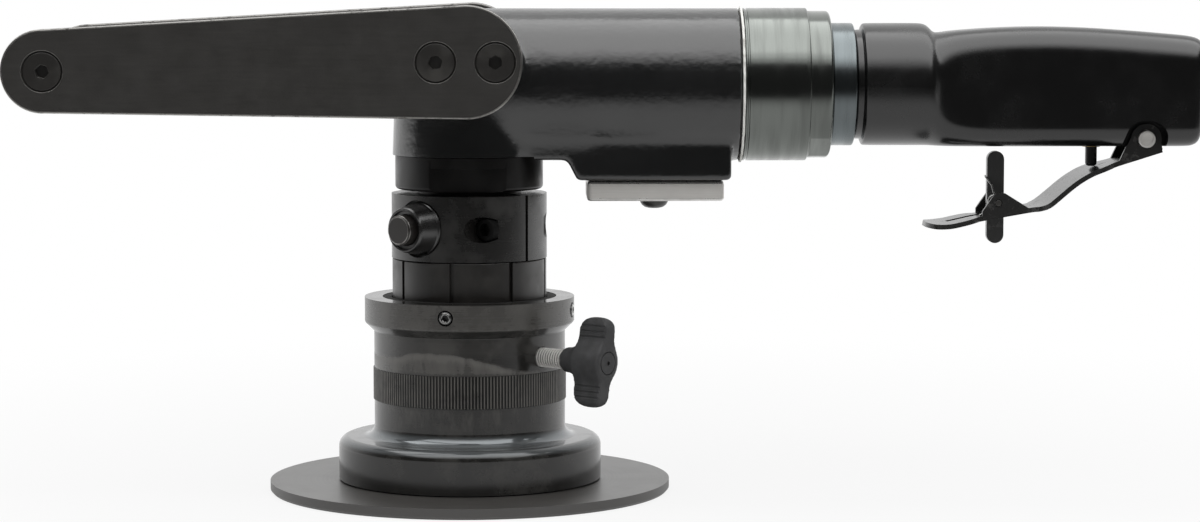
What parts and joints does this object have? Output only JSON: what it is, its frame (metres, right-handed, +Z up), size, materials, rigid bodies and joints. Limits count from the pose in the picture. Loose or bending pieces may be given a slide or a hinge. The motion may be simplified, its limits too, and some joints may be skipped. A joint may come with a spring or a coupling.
{
  "type": "pneumatic edge beveler",
  "caption": "Handheld air-driven edge beveler: vane motor and bevel gears turn a cutter inside a height-adjustable base disc, with side-plate cross handle and lever throttle.",
  "frame": {"origin": "centre of the bounding box's bottom, on the plane of the base disc's underside", "axes": "+X from the cross handle towards the rear grip, +Z up along the spindle, -Y towards the viewer of the picture"},
  "size_m": [0.483, 0.1654, 0.2008],
  "materials": {
    "black_oxide_steel": "satin black oxide",
    "black_paint": "gloss black paint on a casting",
    "black_grip": "semi-gloss black coating",
    "bright_steel": "turned bright",
    "stainless_sheet": "satin stainless sheet",
    "gasket_white": "fibre paper",
    "grey_plastic": "matte dark grey",
    "brass": "turned",
    "black_rubber": "matte",
    "carbide_gold": "gold coated carbide",
    "black_anodised": "matte black anodised"
  },
  "bodies": {
    "head": {"gear_housing": "black_paint", "bearing_housing": "black_oxide_steel", "clamp_collar": "black_oxide_steel", "clamp_screw": "black_oxide_steel", "spindle_lock_boss": "black_oxide_steel", "grooved_sleeve": "black_oxide_steel", "nose_bearing": "bright_steel", "lower_bearing": "bright_steel", "top_bearing": "bright_steel", "muffler_cover": "stainless_sheet", "muffler_screw": "black_oxide_steel", "side_plate_front": "black_anodised", "side_plate_rear": "black_anodised", "cross_handle": "black_anodised", "plate_screw_front_1": "black_oxide_steel", "plate_screw_front_2": "black_oxide_steel", "plate_screw_front_3": "black_oxide_steel", "plate_screw_rear_1": "black_oxide_steel", "plate_screw_rear_2": "black_oxide_steel", "plate_screw_rear_3": "black_oxide_steel", "motor_front_plate": "bright_steel", "motor_rear_plate": "bright_steel", "motor_cylinder": "bright_steel", "housing_gasket": "gasket_white", "motor_ring": "bright_steel", "handle_collar": "bright_steel", "grip_handle": "black_grip", "inlet_bushing": "bright_steel", "valve_bushing": "brass", "lever_pin": "bright_steel"},
    "wiper": {"wiper_ring": "black_rubber"},
    "adjuster": {"depth_adjuster": "black_oxide_steel", "base_disc": "black_oxide_steel", "base_screw_1": "black_oxide_steel", "base_screw_2": "black_oxide_steel", "base_screw_3": "black_oxide_steel", "click_plunger_1": "black_oxide_steel", "click_plunger_2": "black_oxide_steel", "click_plunger_3": "black_oxide_steel", "click_plunger_4": "black_oxide_steel"},
    "knob_screw": {"knob_stud": "bright_steel"},
    "knob": {"wing_knob": "grey_plastic"},
    "lock_button": {"spindle_lock_button": "black_oxide_steel"},
    "spindle": {"spindle": "bright_steel", "crown_gear": "bright_steel", "cutter_head": "black_oxide_steel", "cutter_insert_1": "carbide_gold", "cutter_insert_2": "carbide_gold", "cutter_insert_3": "carbide_gold", "guide_screw": "black_oxide_steel"},
    "guide": {"guide_bearing": "bright_steel"},
    "rotor": {"rotor": "bright_steel", "bevel_pinion": "bright_steel"},
    "lever": {"throttle_lever": "black_oxide_steel", "lock_off_pin": "black_oxide_steel", "lock_off_spring": "bright_steel"},
    "lock_off": {"lock_off_lever": "black_oxide_steel"},
    "valve": {"valve_stem": "black_oxide_steel", "valve_spring": "bright_steel"}
  },
  "joints": [
    {"name": "depth_slide", "type": "slide", "parent": "head", "child": "wiper", "axis": [0, 0, 1], "range_m": [0, 0.015]},
    {"name": "adjuster_turn", "type": "hinge", "parent": "wiper", "child": "adjuster", "pos_m": [-0.06025, 0, 0.02], "axis": [0, 0, 1], "range_deg": [0, 2700]},
    {"name": "knob_advance", "type": "slide", "parent": "adjuster", "child": "knob_screw", "axis": [0.7604, -0.6494, 0], "range_m": [0, 0.00125]},
    {"name": "knob_turn", "type": "hinge", "parent": "knob_screw", "child": "knob", "pos_m": [-0.01463, -0.03897, 0.0575], "axis": [0.7604, -0.6494, 0], "range_deg": [0, 360]},
    {"name": "lock_push", "type": "slide", "parent": "head", "child": "lock_button", "axis": [0.6428, 0.766, 0], "range_m": [0, 0.004], "stiffness_N_per_m": 600, "springref_m": -0.004},
    {"name": "spindle_spin", "type": "hinge", "parent": "head", "child": "spindle", "pos_m": [-0.06025, 0, 0.1], "axis": [0, 0, 1], "continuous": true},
    {"name": "guide_spin", "type": "hinge", "parent": "spindle", "child": "guide", "pos_m": [-0.06025, 0, 0.005], "axis": [0, 0, 1], "continuous": true},
    {"name": "rotor_spin", "type": "hinge", "parent": "head", "child": "rotor", "pos_m": [0.01975, 0, 0.1676], "axis": [1, 0, 0], "continuous": true},
    {"name": "throttle", "type": "hinge", "parent": "head", "child": "lever", "pos_m": [0.21815, 0, 0.1453], "axis": [0, 1, 0], "range_deg": [0, 10], "stiffness_Nm_per_rad": 0.6, "springref_deg": -8.59},
    {"name": "lock_off_tilt", "type": "hinge", "parent": "lever", "child": "lock_off", "pos_m": [0.15745, 0, 0.119], "axis": [0, 1, 0], "range_deg": [0, 65]},
    {"name": "valve_lift", "type": "slide", "parent": "head", "child": "valve", "axis": [0, 0, 1], "range_m": [0, 0.0045], "deforming": ["valve_spring"]}
  ],
  "couplings": [
    {"joint": "depth_slide", "follows": "adjuster_turn", "m_per_rad": 0.00031828},
    {"joint": "knob_turn", "follows": "knob_advance", "rad_per_m": 5026},
    {"joint": "rotor_spin", "follows": "spindle_spin", "ratio": 2.4545},
    {"joint": "lock_off_tilt", "follows": "throttle", "ratio": 6.5},
    {"joint": "valve_lift", "follows": "throttle", "m_per_rad": 0.0245}
  ]
}
